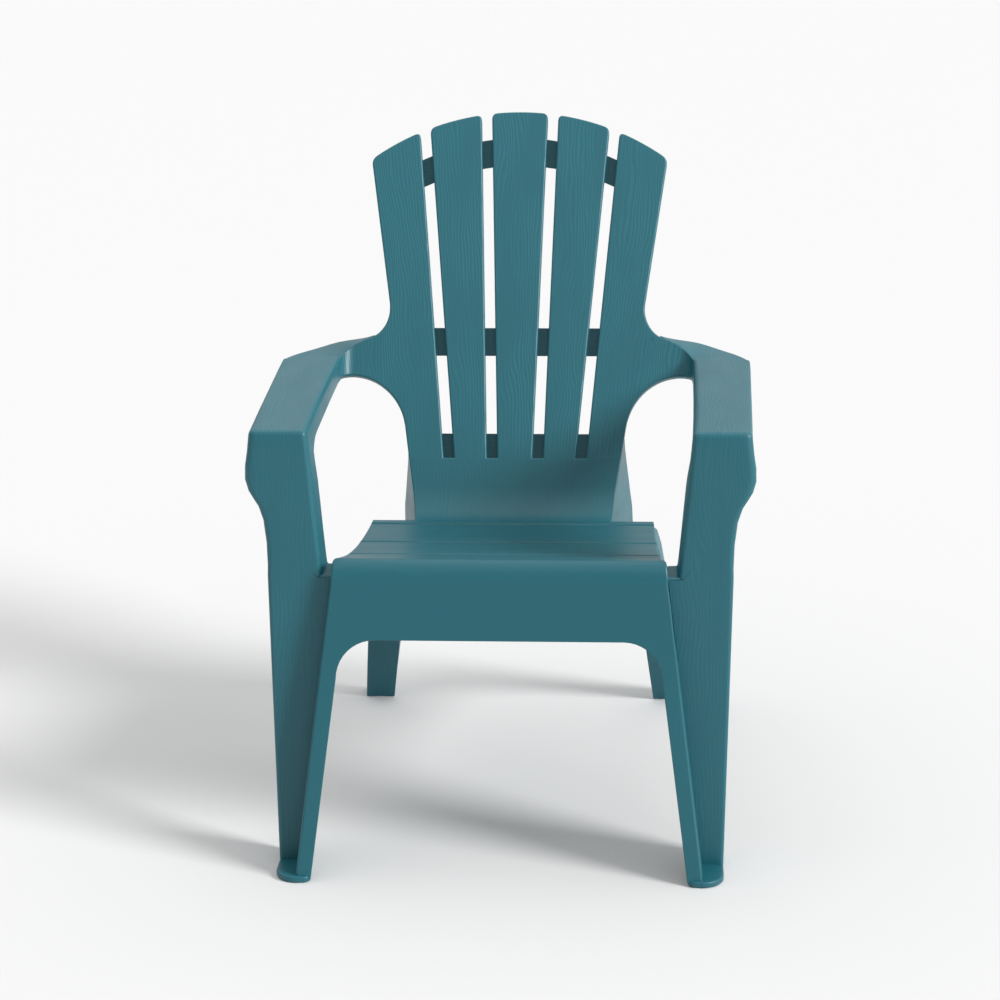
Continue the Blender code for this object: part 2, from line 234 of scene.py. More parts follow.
class Skin:
    """An open surface of faces that share their corners, each face a part of one member."""

    def __init__(self):
        self.shape = bmesh.new()
        self.corners, self.members = {}, []
        self.grain = self.shape.loops.layers.float_vector.new("grain")
        self.flame = self.shape.loops.layers.float.new("flame")
        self.relief = self.shape.loops.layers.float.new("relief")
        self.rounds = []

    def corner(self, point):
        """The one corner at this point."""
        key = tuple(round(value * GRID_PER_METRE) for value in point)
        if key not in self.corners:
            self.corners[key] = self.shape.verts.new(point)
        return self.corners[key]

    def face(self, points, member, grain):
        """One face of a member; points that coincide count once."""
        corners = []
        for point in points:
            corner = self.corner(point)
            if corner not in corners:
                corners.append(corner)
        if len(corners) < 3:
            return
        made = self.shape.faces.new(corners)
        if member not in self.members:
            self.members.append(member)
        made.material_index = self.members.index(member)
        for loop in made.loops:
            loop[self.grain] = grain.at(loop.vert.co)
            loop[self.flame] = grain.flame
            loop[self.relief] = grain.relief

    def sheet(self, rows, member, grain):
        """Faces between rows of as many points; member and grain may be functions of the row and column."""
        for row in range(len(rows) - 1):
            for column in range(len(rows[0]) - 1):
                name = member(row, column) if callable(member) else member
                lay = grain(row, column) if callable(grain) else grain
                self.face([rows[row][column], rows[row][column + 1],
                           rows[row + 1][column + 1], rows[row + 1][column]], name, lay)

    def round_off(self, test, radius):
        """Sets the radius of the bends whose middle passes the test; the last rule that passes holds."""
        self.rounds.append((test, radius))

    def radius(self, middle):
        """Radius for a bend with this middle."""
        found = FRONT_ROUND
        for test, radius in self.rounds:
            if test(middle):
                found = radius
        return found

    def finish(self, place, shown):
        """The members as closed meshes: {name: mesh}. The face nearest to place faces the way of shown."""
        bmesh.ops.recalc_face_normals(self.shape, faces=self.shape.faces)
        first = min(self.shape.faces, key=lambda face: (face.calc_center_median() - place).length)
        if first.normal.dot(shown) < 0:
            bmesh.ops.reverse_faces(self.shape, faces=self.shape.faces)
        mesh = as_mesh(self.shape, "skin")
        kinds = len(self.members)
        for _ in range(kinds * 3):
            mesh.materials.append(None)
        whole = add_object("skin", mesh)
        wall = whole.modifiers.new("wall", "SOLIDIFY")
        wall.thickness, wall.offset, wall.use_even_offset = WALL, -1, True
        wall.material_offset, wall.material_offset_rim = kinds, kinds * 2
        apply_modifiers(whole)
        widest = self.weigh_edges(whole.data)
        bevel = whole.modifiers.new("round", "BEVEL")
        bevel.limit_method, bevel.width, bevel.segments = "WEIGHT", widest, ROUND_SEGMENTS
        bevel.use_clamp_overlap = False
        apply_modifiers(whole)
        parts = {name: self.part(whole.data, index) for index, name in enumerate(self.members)}
        bpy.data.objects.remove(whole, do_unlink=True)
        return parts

    def weigh_edges(self, mesh):
        """Gives each bend its share of the widest rounding, and returns that."""
        solid = bmesh.new()
        solid.from_mesh(mesh)
        wanted = {}
        for edge in solid.edges:
            if len(edge.link_faces) != 2 or edge.calc_face_angle() < SHARP:
                continue
            middle = (edge.verts[0].co + edge.verts[1].co) / 2
            sides = {face.material_index // len(self.members) for face in edge.link_faces}
            radius = EDGE_ROUND
            if sides == {OUTSIDE}:
                radius = self.radius(middle) if edge.is_convex else HOLLOW_ROUND
            elif sides == {INSIDE}:
                radius = HOLLOW_ROUND if edge.is_convex else self.radius(middle) - WALL
            if radius > SMALLEST_ROUND:
                wanted[edge.index] = radius
        solid.free()
        widest = max(wanted.values())
        weights = mesh.attributes.new("bevel_weight_edge", "FLOAT", "EDGE")
        for index, radius in wanted.items():
            weights.data[index].value = radius / widest
        return widest

    def part(self, mesh, index):
        """The faces of one member as a mesh of its own, closed where it was cut off."""
        kinds = len(self.members)
        solid = bmesh.new()
        solid.from_mesh(mesh)
        others = [face for face in solid.faces if face.material_index % kinds != index]
        bmesh.ops.delete(solid, geom=others, context="FACES")
        close_cut(solid, lambda face: face.material_index // kinds)
        for face in solid.faces:
            face.material_index = 0
        return as_mesh(solid, "member")


def close_cut(solid, side):
    """Joins the cut borders of the wall's two sides; side(face) says on which side a face lies."""
    cut = [edge for edge in solid.edges if edge.is_boundary]
    outer = [edge for edge in cut if side(edge.link_faces[0]) == OUTSIDE]
    beside = {}
    for edge in cut:
        if side(edge.link_faces[0]) != OUTSIDE:
            for near, far in (edge.verts, reversed(edge.verts)):
                beside.setdefault(near, []).append(far)
    inner = corners_of(edge for edge in cut if side(edge.link_faces[0]) == INSIDE)
    if not outer or not inner:
        return
    across = {}
    for corner in corners_of(outer):
        across[corner] = min(inner, key=lambda other: (other.co - corner.co).length_squared)
    ends = [corner for corner in across if sum(edge in outer for edge in corner.link_edges) == 1]
    for edge in outer:
        loop = edge.link_loops[0]
        start, end = loop.link_loop_next.vert, loop.vert
        add_cap(solid, [start, end] + shortest_way(beside, across[end], across[start]))
    for corner in ends:
        add_cap(solid, shortest_way(beside, corner, across[corner]))
    left = [edge for edge in solid.edges if edge.is_boundary]
    bmesh.ops.holes_fill(solid, edges=left, sides=HOLE_CORNERS)


def corners_of(edges):
    """Corners of these edges, each once and in the order of the edges."""
    return list(dict.fromkeys(corner for edge in edges for corner in edge.verts))


def shortest_way(beside, start, goal):
    """Corners from start to goal along the cut border, both included."""
    ways, seen = [[start]], {start}
    while ways:
        way = ways.pop(0)
        if way[-1] is goal:
            return way
        for corner in beside.get(way[-1], ()):
            if corner not in seen:
                seen.add(corner)
                ways.append(way + [corner])
    return []


def add_cap(solid, corners):
    """A face between these corners, unless it is there or has no area."""
    kept = [corner for index, corner in enumerate(corners) if corner not in corners[:index]]
    if len(kept) > 2 and not solid.faces.get(kept):
        solid.faces.new(kept)


def as_mesh(shape, name):
    made = bpy.data.meshes.new(name)
    shape.to_mesh(made)
    shape.free()
    return made


def add_object(name, data):
    made = bpy.data.objects.new(name, data)
    bpy.context.scene.collection.objects.link(made)
    return made


def apply_modifiers(thing):
    """Gives an object the mesh that its modifiers make, without them."""
    graph = bpy.context.evaluated_depsgraph_get()
    applied = bpy.data.meshes.new_from_object(thing.evaluated_get(graph))
    thing.modifiers.clear()
    thing.data = applied


def add_piece(node, mesh, mirrored=False):
    """A visible piece that stands for one CAD node."""
    if mirrored:
        mesh.transform(Matrix.Scale(-1, 4, X))
        mesh.flip_normals()
    mesh.transform(Matrix.Translation((0, TOES, 0)))
    mesh.materials.clear()
    mesh.materials.append(plastic)
    mesh.polygons.foreach_set("use_smooth", [True] * len(mesh.polygons))
    mesh.set_sharp_from_angle(angle=SHARP)
    mesh.name = "moulded_" + node
    piece = add_object("moulded_" + node, mesh)
    even = piece.modifiers.new("even_shading", "WEIGHTED_NORMAL")
    even.keep_sharp, even.weight = True, 100
    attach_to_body(piece, "root")
    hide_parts(node)


# The middle of the chair: back, seat, apron, front strips and side walls

SIDES = ((1, "left"), (-1, "right"))
SLATS = ("right_outer", "right_inner", "middle", "left_inner", "left_outer")
WING_UPPER = arc((0.222, 0.64), (0.038, 0.041), 170, 262, 12)
WING_TOP = [(0.222, 0.596), (0.231, 0.592), (0.245, 0.583), (0.2515, 0.577)]
ARM_TAIL = (0.207, 0.6023)  # where the arm's top runs out along the wing
VALLEY, VALLEY_X = 0.02, 0.2526  # radius and end of the hollow between a wing and its arm
VALLEY_LOW = (0.5499, 0.5505)  # heights of its lower edge, on the wing and at its end
WING_LOWER = arc((0.237, 0.47), 0.08, 96.7, 170.5, 12)
GRAIN_HEIGHT = 0.6  # where on the back its grain has its origin
COLUMN_BLEND = 0.02  # length of seat over which its columns become even
EDGE_COLUMN = 0.045  # width of the outermost column of the seat
WEB_HEIGHTS_ABOVE_KNEE = (0.262, 0.3, 0.33, 0.36)
STRIP_HEIGHTS = (LEG_FOOT, 0.06, 0.13, 0.2, 0.262)
WEB_BEHIND_PANEL, WEB_INWARD = 0.002, 0.002  # where a web ends inside the panel of its leg
WEB_TO_SKIRT = (  # height in front, t and height of the free edge
    (0.33, 0.096, 0.3), (0.36, 0.104, 0.302), (APRON_TOP, 0.112, 0.306),
)
SKIRT_START, SKIRT_RISE = (0.112, 0.306), 0.8  # lower front corner, slope of the edge from there
SKIRT_FLARE = 0.002  # how far its lower edge stands out
SKIRT = (  # t, depth below the seat
    (0.13, 0.083), (0.16, 0.074), (0.23, 0.066), (0.31, 0.064), (0.39, 0.07), (0.449, 0.08),
)
SKIRT_TO_LEG = ((0.198, 0.535, 0.326), (0.208, 0.565, 0.258))  # upper and lower edge halfway to the leg
SKIRT_END = ((0.1965, 0.29, 0.004), (0.2085, 0.232, 0.004))  # the same at the leg: x, z, way behind it


def fan_lines():
    """Left and right edge of every slat, each as a slope of the fan and a shift."""
    half = GAP_WIDTH / 2
    right = [(-FAN_EDGE, 0.0)]
    right += [(-gap, shift) for gap in (OUTER_GAP, INNER_GAP) for shift in (-half, half)]
    return right + [(-slope, -shift) for slope, shift in reversed(right)]


def line_x(line, z):
    """Sideways place at height z of an edge from fan_lines."""
    return fan(line[0], z) + line[1]


def slat_top(left, right):
    """Top of a slat as (x, z) on the crown, from one edge to the other, with rounded corners."""
    ends = []
    for line in (right, left):
        z = BACK_TOP
        for _ in range(8):
            z = crown(line_x(line, z))
        ends.append(Vector((line_x(line, z), z)))
    places = [ends[0].x + (ends[1].x - ends[0].x) * step / 10 for step in range(1, 10)]
    path = [Vector((x, crown(x))) for x in places]
    corners = []
    for end, line, inward in ((ends[0], right, 1), (ends[1], left, -1)):
        low = Vector((line_x(line, end.y - SLAT_CORNER), end.y - SLAT_CORNER))
        x = end.x - inward * SLAT_CORNER
        high = Vector((x, crown(x)))
        shares = [step / 5 for step in range(6)]
        corners.append([low * (1 - s) ** 2 + end * 2 * s * (1 - s) + high * s * s for s in shares])
    clear = SLAT_CORNER * 1.2
    middle = [point for point in path if ends[1].x + clear < point.x < ends[0].x - clear]
    return corners[0] + middle + corners[1][::-1]


def panel_profile():
    """The back from the foot of the slats down and round into the seat, as (t, z)."""
    top = on_back(0, SLAT_BOTTOM)
    flat = on_back(0, PANEL_FLAT_TO)
    bend = on_back(0, SEAT_LOW + 0.004)
    end = Vector((0, SEAT_REAR, SEAT_LOW))
    points = [top, top.lerp(flat, 0.5)]
    points += bezier(flat, flat.lerp(bend, 0.62), end.lerp(bend, 0.62), end, 8)
    return points


def seat_profile():
    """The seat from its rear edge to the apron, with a groove between each two slats, as (t, z, member)."""
    names = ("rear", "third", "second", "front")
    bounds = (SEAT_REAR,) + SEAT_GROOVES[::-1] + (ROLL_START,)
    made = []
    for index, name in enumerate(names):
        start, end = bounds[index], bounds[index + 1]
        first = start - GROOVE_HALF if index else start
        last = end + GROOVE_HALF if index < 3 else end
        for step in range(7):
            t = first + (last - first) * step / 6
            made.append((t, seat_height(t), name))
        if index < 3:
            floor_half = GROOVE_HALF * GROOVE_FLOOR
            for t in (end + floor_half, end, end - floor_half):
                following = names[index + 1] if t < end + 1e-6 else name
                made.append((t, seat_height(end) - GROOVE_DEPTH, following))
    start, end = Vector((0, ROLL_START, seat_height(ROLL_START))), on_apron(0, APRON_TOP)
    roll = bezier(start, start + Vector(ROLL_OVER), end + Vector(ROLL_DOWN), end, 8)
    return made + [(point.y, point.z, "front") for point in roll[1:]]


def seat_edge(t):
    """Half width of the seat and its roll at this place."""
    if t < ROLL_START:
        share = (ROLL_START - t) / (ROLL_START - on_apron(0, APRON_TOP).y)
        return seat_half(ROLL_START) + (leg_outside(APRON_TOP) - seat_half(ROLL_START)) * share
    return seat_half(t)


def slat_grains(lines):
    """The lay of the grain on each slat, along its own middle."""
    made = []
    for left, right in zip(lines[0::2], lines[1::2]):
        middle = (line_x(left, GRAIN_HEIGHT) + line_x(right, GRAIN_HEIGHT)) / 2
        lean = (left[0] + right[0]) / 2 * math.cos(RECLINE)
        grain = Grain(on_back(middle, GRAIN_HEIGHT), X, ALONG_BACK + X * lean)
        grain.across = (X - grain.along * X.dot(grain.along)).normalized()
        made.append(grain)
    return made


def build_centre():
    """Back, seat, apron, front strips and side walls: one skin."""
    skin = Skin()
    lines = fan_lines()
    grains = slat_grains(lines)
    build_slats(skin, lines, grains)
    build_wings(skin, grains)
    build_panel(skin, lines)
    build_seat(skin)
    build_front(skin)
    build_rims(skin, lines)
    skin.round_off(lambda m: m.z < SEAT_AREA and m.y < SEAT_AREA, SEAT_ROUND)
    skin.round_off(lambda m: abs(m.x) < GROOVE_END and any(abs(m.y - t) < GROOVE_REACH for t in SEAT_GROOVES),
                   GROOVE_ROUND)
    for name, mesh in skin.finish(on_back(0, GRAIN_HEIGHT), -BACKWARD).items():
        add_piece(name, mesh)


def build_slats(skin, lines, grains):
    """Front faces of the slats; the outer ones have corners where the wings leave them."""
    attach = [WING_LOWER[-1][1], WING_UPPER[0][1]]
    for index, name in enumerate(SLATS):
        left, right = lines[2 * index], lines[2 * index + 1]
        outline = [(line_x(left, SLAT_BOTTOM), SLAT_BOTTOM), (line_x(right, SLAT_BOTTOM), SLAT_BOTTOM)]
        if index == 4:
            outline += [(line_x(right, z), z) for z in attach]
        outline += [tuple(point) for point in slat_top(left, right)]
        if index == 0:
            outline += [(line_x(left, z), z) for z in reversed(attach)]
        skin.face([on_back(x, z) for x, z in outline], "back_slat_" + name, grains[index])


def wing_outline():
    """The left wing as (x, z), from the slat over the upper arc to the arm and back by the lower arc."""
    slat = [(line_x((FAN_EDGE, 0), z), z) for z in (WING_LOWER[-1][1], WING_UPPER[0][1])]
    border = VALLEY_X - VALLEY
    hollow = [(border, wing_top(border)), (border, VALLEY_LOW[0])]
    return slat + WING_UPPER[1:] + WING_TOP[:2] + hollow + WING_LOWER[:-1]


def wing_top(x):
    """Where the wing meets the top of its arm."""
    return interpolate(WING_TOP, x)


def on_wing(x, z):
    """A point of the wing's face, which curves forward at its end."""
    reach = max(0.0, x - VALLEY_X + VALLEY)
    forward = VALLEY - math.sqrt(max(0.0, VALLEY**2 - reach**2))
    return on_back(x, z - forward * math.sin(RECLINE), -forward)


def valley(side):
    """Rows of points round the hollow from the wing's border to the inner rail, from its top down."""
    steps = 9
    rows = [[] for _ in range(6)]
    for step in range(steps + 1):
        share = math.sin(math.pi / 2 * step / steps)
        x = VALLEY_X - VALLEY + VALLEY * share
        low = VALLEY_LOW[0] + (VALLEY_LOW[1] - VALLEY_LOW[0]) * share
        for index, row in enumerate(rows):
            point = on_wing(x, wing_top(x) + (low - wing_top(x)) * index / (len(rows) - 1))
            row.append(Vector((point.x * side, point.y, point.z)))
    return rows


def build_wings(skin, grains):
    """Front faces of the wings, which end in the hollows before the arms."""
    for (side, label), grain in zip(SIDES, (grains[4], grains[0])):
        hollow = valley(side)
        inner_border = [row[0] for row in hollow]
        outline = [on_back(x * side, z) for x, z in wing_outline()]
        before = len(WING_UPPER) + 3
        skin.face(outline[:before] + inner_border + outline[before + 2:], "back_wing_" + label, grain)
        skin.sheet(hollow, "back_wing_" + label, grain)


def build_panel(skin, lines):
    """The solid lower part of the back."""
    rows = [[Vector((line_x(line, max(point.z, SEAT_LOW)), point.y, point.z)) for line in lines]
            for point in panel_profile()]
    skin.sheet(rows, "back_panel", Grain(on_back(0, 0.42), X, ALONG_BACK, 0.6, 0.5))


def seat_columns(t, rear):
    """Places across the seat: those of the back panel's lines, and the edges."""
    inner = [line_x(line, SEAT_LOW) for line in fan_lines()]
    if not rear:
        share = min(1.0, (SEAT_REAR - t) / COLUMN_BLEND)
        edge = seat_edge(t) - EDGE_COLUMN
        last = len(inner) - 1
        even = [edge * (2 * index / last - 1) for index in range(last + 1)]
        inner = [a + (b - a) * share for a, b in zip(inner, even)]
    half = seat_edge(t)
    return [-half] + inner + [half]


def build_seat(skin):
    """The four slats of the seat with the grooves between them."""
    names = ("rear", "third", "second", "front")
    reliefs = (0.5, 0.5, 0.5, 0.2)
    grains = {name: Grain(Vector((0.3, 0.3, 0)), Y, X, 0.0, relief) for name, relief in zip(names, reliefs)}
    profile = seat_profile()
    rows = [[Vector((x, t, z)) for x in seat_columns(t, index == 0)]
            for index, (t, z, _) in enumerate(profile)]
    of_row = [name for _, _, name in profile]
    skin.sheet(rows, lambda row, column: "seat_slat_" + of_row[row + 1],
               lambda row, column: grains[of_row[row]])


def build_front(skin):
    """Apron, knees and the front strips of the legs, all in one plane."""
    top = [on_apron(x, APRON_TOP) for x in seat_columns(on_apron(0, APRON_TOP).y, False)]
    knee = arc((KNEE_FROM, KNEE_BOTTOM), KNEE_RADIUS, 0, 90, 10)
    right = [(leg_outside(z), z) for z in WEB_HEIGHTS_ABOVE_KNEE[::-1]] + knee
    outline = [on_apron(x, z) for x, z in right] + [on_apron(-x, z) for x, z in reversed(right)]
    grain = Grain(Vector((0.3, 0.03, 0.34)), Z, X, 0.1, 0.12)
    skin.face(top + outline, "seat_apron", grain)
    for side, label in SIDES:
        strip = [[on_apron(edge(z) * side, z) for edge in (leg_inside, leg_outside)] for z in STRIP_HEIGHTS]
        strip[-1][0] = on_apron((KNEE_FROM + KNEE_RADIUS) * side, KNEE_BOTTOM)
        grain = Grain(on_apron(leg_inside(0) * side, 0), X, Z, 0.0, 0.3)
        skin.sheet(strip, "front_leg_strip_" + label, grain)


def skirt_low(t):
    """Lower edge of the seat's side wall."""
    return seat_height(t) - interpolate(SKIRT, t)


def build_rims(skin, lines):
    """Everything that turns back from the front faces: rims of the slats and wings, and the side walls."""
    for side, label in SIDES:
        build_side_wall(skin, side, label)
    rim_of_slats(skin, lines)
    rim_of_wings(skin)
    for line in (lines[0], lines[-1]):
        path = [Vector((line_x(line, max(p.z, SEAT_LOW)), p.y, p.z)) for p in panel_profile()[:4]]
        rim(skin, path, "back_panel", Grain(on_back(0, 0.4), BACKWARD, ALONG_BACK, 0.0))


def rim(skin, path, member, grain):
    """A strip from a path on the front of the back to the depth of the slats."""
    skin.sheet([path, [point + BACKWARD * SLAT_DEPTH for point in path]], member, grain)


def rim_of_slats(skin, lines):
    """Rims round the slats and, between two slats, along the top of the panel."""
    lower_z, upper_z = WING_LOWER[-1][1], WING_UPPER[0][1]

    def on_edge(line, z):
        return on_back(line_x(line, z), z)

    for index, name in enumerate(SLATS):
        left, right = lines[2 * index], lines[2 * index + 1]
        top = [on_back(x, z) for x, z in slat_top(left, right)]
        grain = Grain(on_back(0, GRAIN_HEIGHT), BACKWARD, ALONG_BACK, 0.0)
        right_foot = upper_z if index == 4 else SLAT_BOTTOM
        left_foot = upper_z if index == 0 else SLAT_BOTTOM
        path = [on_edge(right, right_foot)] + top + [on_edge(left, left_foot)]
        rim(skin, path, "back_slat_" + name, grain)
        if index < 4:
            following = lines[2 * index + 2]
            rim(skin, [on_edge(line, SLAT_BOTTOM) for line in (right, following)], "back_panel", grain)
        for outer_slat, line in ((4, right), (0, left)):
            if index == outer_slat:
                rim(skin, [on_edge(line, z) for z in (SLAT_BOTTOM, lower_z)], "back_slat_" + name, grain)


def rim_of_wings(skin):
    for side, label in SIDES:
        grain = Grain(on_back(0, GRAIN_HEIGHT), BACKWARD, ALONG_BACK, 0.0)
        outline = [on_back(x * side, z) for x, z in wing_outline()]
        upper = outline[1:1 + len(WING_UPPER)]
        lower = valley(side)[-1][::-1] + outline[-len(WING_LOWER) + 1:] + [outline[0]]
        rim(skin, upper, "back_wing_" + label, grain)
        rim(skin, lower, "back_wing_" + label, grain)


def build_side_wall(skin, side, label):
    """Wall behind the strip of a front leg, and on under the edge of the seat to its rear."""
    def out(x, t, z):
        return Vector((x * side, t, z))

    down = Grain(out(0.22, 0.1, 0), Y, Z, 0.0, 0.5)
    web = []
    for z in STRIP_HEIGHTS + WEB_HEIGHTS_ABOVE_KNEE[1:2]:
        free = out(leg_outside(z), on_line(FRONT_PANEL_PLANE, z) + WEB_BEHIND_PANEL, z)
        web.append([on_apron(leg_outside(z) * side, z), free])
    skin.sheet(web, "front_leg_web_" + label, down)
    rows = [web[-1]]
    for z, t_low, z_low in WEB_TO_SKIRT:
        rows.append([on_apron(leg_outside(z) * side, z), out(leg_outside(z) - WEB_INWARD, t_low, z_low)])
    skin.sheet(rows, "front_leg_web_" + label, down)
    edge = [(t, z) for t, z, _ in seat_profile()][::-1]
    front = edge[0][0]
    skirt = [rows[-1]]
    for t, z in edge[1:]:
        t_low = SKIRT_START[0] + (t - front) * (SEAT_REAR - SKIRT_START[0]) / (SEAT_REAR - front)
        z_low = skirt_low(t_low)
        if t_low <= SKIRT[0][0]:
            z_low = SKIRT_START[1] + (t_low - SKIRT_START[0]) * SKIRT_RISE
        skirt.append([out(seat_edge(t), t, z), out(seat_edge(t) + SKIRT_FLARE, t_low, z_low)])
    last = [Vector((abs(point.x), point.y, point.z)) for point in skirt[-1]]
    halfway = [Vector(point) for point in SKIRT_TO_LEG]
    end = [on_rear_panel(*point) for point in SKIRT_END]
    upper = straight_through([last[0], halfway[0], end[0]], 3)
    lower = smooth_through([last[1], halfway[1], end[1]], 3)
    for points in list(zip(upper, lower))[1:]:
        skirt.append([out(*point) for point in points])
    skin.sheet(skirt, "seat_skirt_" + label, Grain(out(0.2, 0.2, 0.3), Z, Y, 0.0))


# Arms and the broad panels of the front legs

ARM_INSIDE = ((0.2464, 0.1024), (0.2482, 0.2), (0.25, 0.3), (0.252, 0.43), (0.253, 0.535))
ARM_OUTSIDE = ((0.3225, 0.1024, 0.577), (0.3257, 0.225, 0.577), (0.3297, 0.38, 0.577),
               (0.3338, 0.538, 0.577), (0.3316, 0.557, 0.577), (0.32, 0.586, 0.577),
               (0.296, 0.62, 0.578), (0.264, 0.642, 0.5835), (0.226, 0.637, 0.5905),
               (0.206, 0.609, 0.6005))
PANEL_EDGE = (  # height, inner edge, outer edge
    (0.4, 0.23, 0.3), (0.43, 0.233, 0.301), (0.46, 0.2357, 0.3048), (0.478, 0.2374, 0.311),
    (0.488, 0.2384, 0.3175), (0.498, 0.2393, 0.3235), (0.515, 0.2408, 0.3278), (0.535, 0.2427, 0.3275),
    (0.555, 0.2446, 0.3247), (0.577, 0.2464, 0.3225),
)
PANEL_LOW = (LEG_FOOT, 0.06, 0.12, 0.18, 0.24, 0.3, 0.35, 0.388)
INNER_FLANGE, OUTER_FLANGE = 0.06, 0.056
ARM_STEPS = 3
TOP_BEHIND_WING, TAIL_BEHIND_WING = 0.0028, 0.0068
ACROSS = 4  # faces across an arm or a leg panel
PANEL_GAP = 0.001  # between a leg panel and the strip beside it
PANEL_OUTSIDE = (0.291, 0.024)  # line of the panel's outer edge below its bulge
LEDGE_CORNER = (0.2285, 0.3885)  # where the panel's inner edge steps inward above the seat
ARM_FRONT = 0.1024
OUTER_TURN = ((0.153, 0.497), (0.158, 0.4935), (0.2274, 0.515))  # free edge from the flange to the rail,
INNER_TURN = ((0.157, 0.5), (0.164, 0.544), (0.2274, 0.544))  # as start, pull and end in (t, z)
TURN_LENGTH = 0.125  # way along the arm to the end of that turn
INNER_RAIL_DEPTH, OUTER_RAIL_DEPTH, TAIL_DEPTH = 0.033, 0.036, 0.034
RAIL_DEEPENS, DEEPENS_FROM, DEEPENS_OVER = 0.026, 0.33, 0.103  # towards the front
TAIL_FROM = 0.58  # where the outer rail has its rear depth
FRAME_ROUNDS = (  # radius of the bends whose middle lies in these ranges of x, t and z; the last one holds
    (ARM_FRONT_ROUND, (-1, 0.27), (-1, 0.16), (0.41, 1)),
    (ARM_INNER_ROUND, (-1, 0.27), (0.13, 1), (0.56, 1)),
    (ARM_TAIL_ROUND, (-1, 0.27), (0.552, 1), (0.56, 1)),
    (ARM_OUTER_ROUND, (0.27, 1), (0.13, 1), (0.56, 1)),
    (BULGE_ROUND, (0.292, 1), (-1, 0.16), (0.5, 1)),
    (BELOW_BULGE_ROUND, (0.292, 1), (-1, 0.16), (0.44, 0.5)),
    (PANEL_ROUND, (0.292, 1), (-1, 0.16), (-1, 0.44)),
    (ARM_FRONT_ROUND, (-1, 1), (-1, 0.11), (0.57, 1)),
)


def lies_in(middle, ranges):
    return all(low < value <= high for value, (low, high) in zip(middle, ranges))


def panel_row(z, inner, outer):
    """Points across the front of a leg panel at height z."""
    return [on_front_panel(inner + (outer - inner) * step / ACROSS, z) for step in range(ACROSS + 1)]


def build_side_frame(label):
    """Top and sides of an arm and the broad panel of its front leg: one skin, made on the left."""
    skin = Skin()
    inside = [Vector((x, t, ARM_HEIGHT)) for x, t in ARM_INSIDE]
    inside += [on_wing(x, z) + Y * TOP_BEHIND_WING for x, z in reversed(WING_TOP)]
    inside.append(on_back(*ARM_TAIL) + Y * TAIL_BEHIND_WING)
    inside = straight_through(inside, ARM_STEPS)
    outside = smooth_through([Vector(point) for point in ARM_OUTSIDE], ARM_STEPS)
    top_grain = Grain(Vector((0.285, 0.3, ARM_HEIGHT)), X, Y, 1.0)
    top = [[inner.lerp(outer, step / ACROSS) for step in range(ACROSS + 1)]
           for inner, outer in zip(inside, outside)]
    skin.sheet(top, "arm_top_" + label, top_grain)
    panel = [panel_row(z, leg_outside(z) - PANEL_GAP, on_line(PANEL_OUTSIDE, z)) for z in PANEL_LOW]
    upper = [panel_row(*row) for row in PANEL_EDGE]
    upper[-1] = top[0]
    ledge = [on_front_panel(*LEDGE_CORNER)] + upper[0][1:]
    panel_grain = Grain(on_front_panel(0.27, 0.3), X, Z, 0.7, 0.6)
    member = "front_leg_panel_" + label
    skin.sheet(panel, member, panel_grain)
    skin.sheet([panel[-1], ledge], member, panel_grain)
    skin.face([ledge[0], upper[0][1], upper[0][0]], member, panel_grain)
    skin.sheet(upper, member, panel_grain)
    outer_path = [row[-1] for row in panel + upper]
    build_arm_side(skin, outer_path, outside, label, True)
    inner_path = [panel[-1][0], ledge[0], *[row[0] for row in upper]]
    build_arm_side(skin, inner_path, inside[:len(ARM_INSIDE) * ARM_STEPS + 1], label, False)
    for radius, *ranges in FRAME_ROUNDS:
        skin.round_off(lambda middle, ranges=ranges: lies_in(middle, ranges), radius)
    for name, mesh in skin.finish(on_front_panel(0.27, 0.5), -Y).items():
        add_piece(name, mesh, label == "right")


def build_arm_side(skin, up_path, arm_path, label, outward):
    """The side of the panel and arm, from the leg up round the corner and back along the arm."""
    rail = ("arm_outer_rail_" if outward else "arm_inner_rail_") + label
    panel = "front_leg_panel_" + label
    depth = OUTER_FLANGE if outward else INNER_FLANGE
    turn_z = (OUTER_TURN if outward else INNER_TURN)[0][1]
    rows, names = [], []
    for point in up_path[:-1]:
        low = Vector((point.x, point.y + depth, point.z))
        if point.z > turn_z:
            low = flange_turn(point, (point.z - turn_z) / (ARM_HEIGHT - turn_z) * 0.5, outward)
        rows.append([point, point.lerp(low, 0.5), low])
        names.append(panel)
    for point in arm_path:
        share = max(0.0, (point.y - ARM_FRONT) / TURN_LENGTH)
        if share < 1:
            low = flange_turn(point, 0.5 + share * 0.5, outward)
        else:
            low = rail_low(point, outward)
        rows.append([point, point.lerp(low, 0.5), low])
        names.append(rail)
    grain = Grain(Vector((0.3, 0.2, 0.5)), Z, Y, 0.0)
    skin.sheet(rows, lambda row, column: names[row], grain)


def flange_turn(point, share, outward):
    """Free edge of the side where the flange of the panel curves into the rail of the arm."""
    start, pull, end = OUTER_TURN if outward else INNER_TURN
    t, z = (a * (1 - share) ** 2 + 2 * b * share * (1 - share) + c * share**2
            for a, b, c in zip(start, pull, end))
    return Vector((point.x, t, z))


def rail_low(point, outward):
    """Lower edge of an arm's rail below a point of the arm's edge."""
    if not outward:
        return Vector((point.x, point.y, min(point.z, ARM_HEIGHT) - INNER_RAIL_DEPTH))
    depth = OUTER_RAIL_DEPTH + RAIL_DEEPENS * max(0.0, (DEEPENS_FROM - point.y) / DEEPENS_OVER) ** 1.5
    if point.y > TAIL_FROM:
        depth = TAIL_DEPTH
    return Vector((point.x, point.y, point.z - depth))


# Rear legs

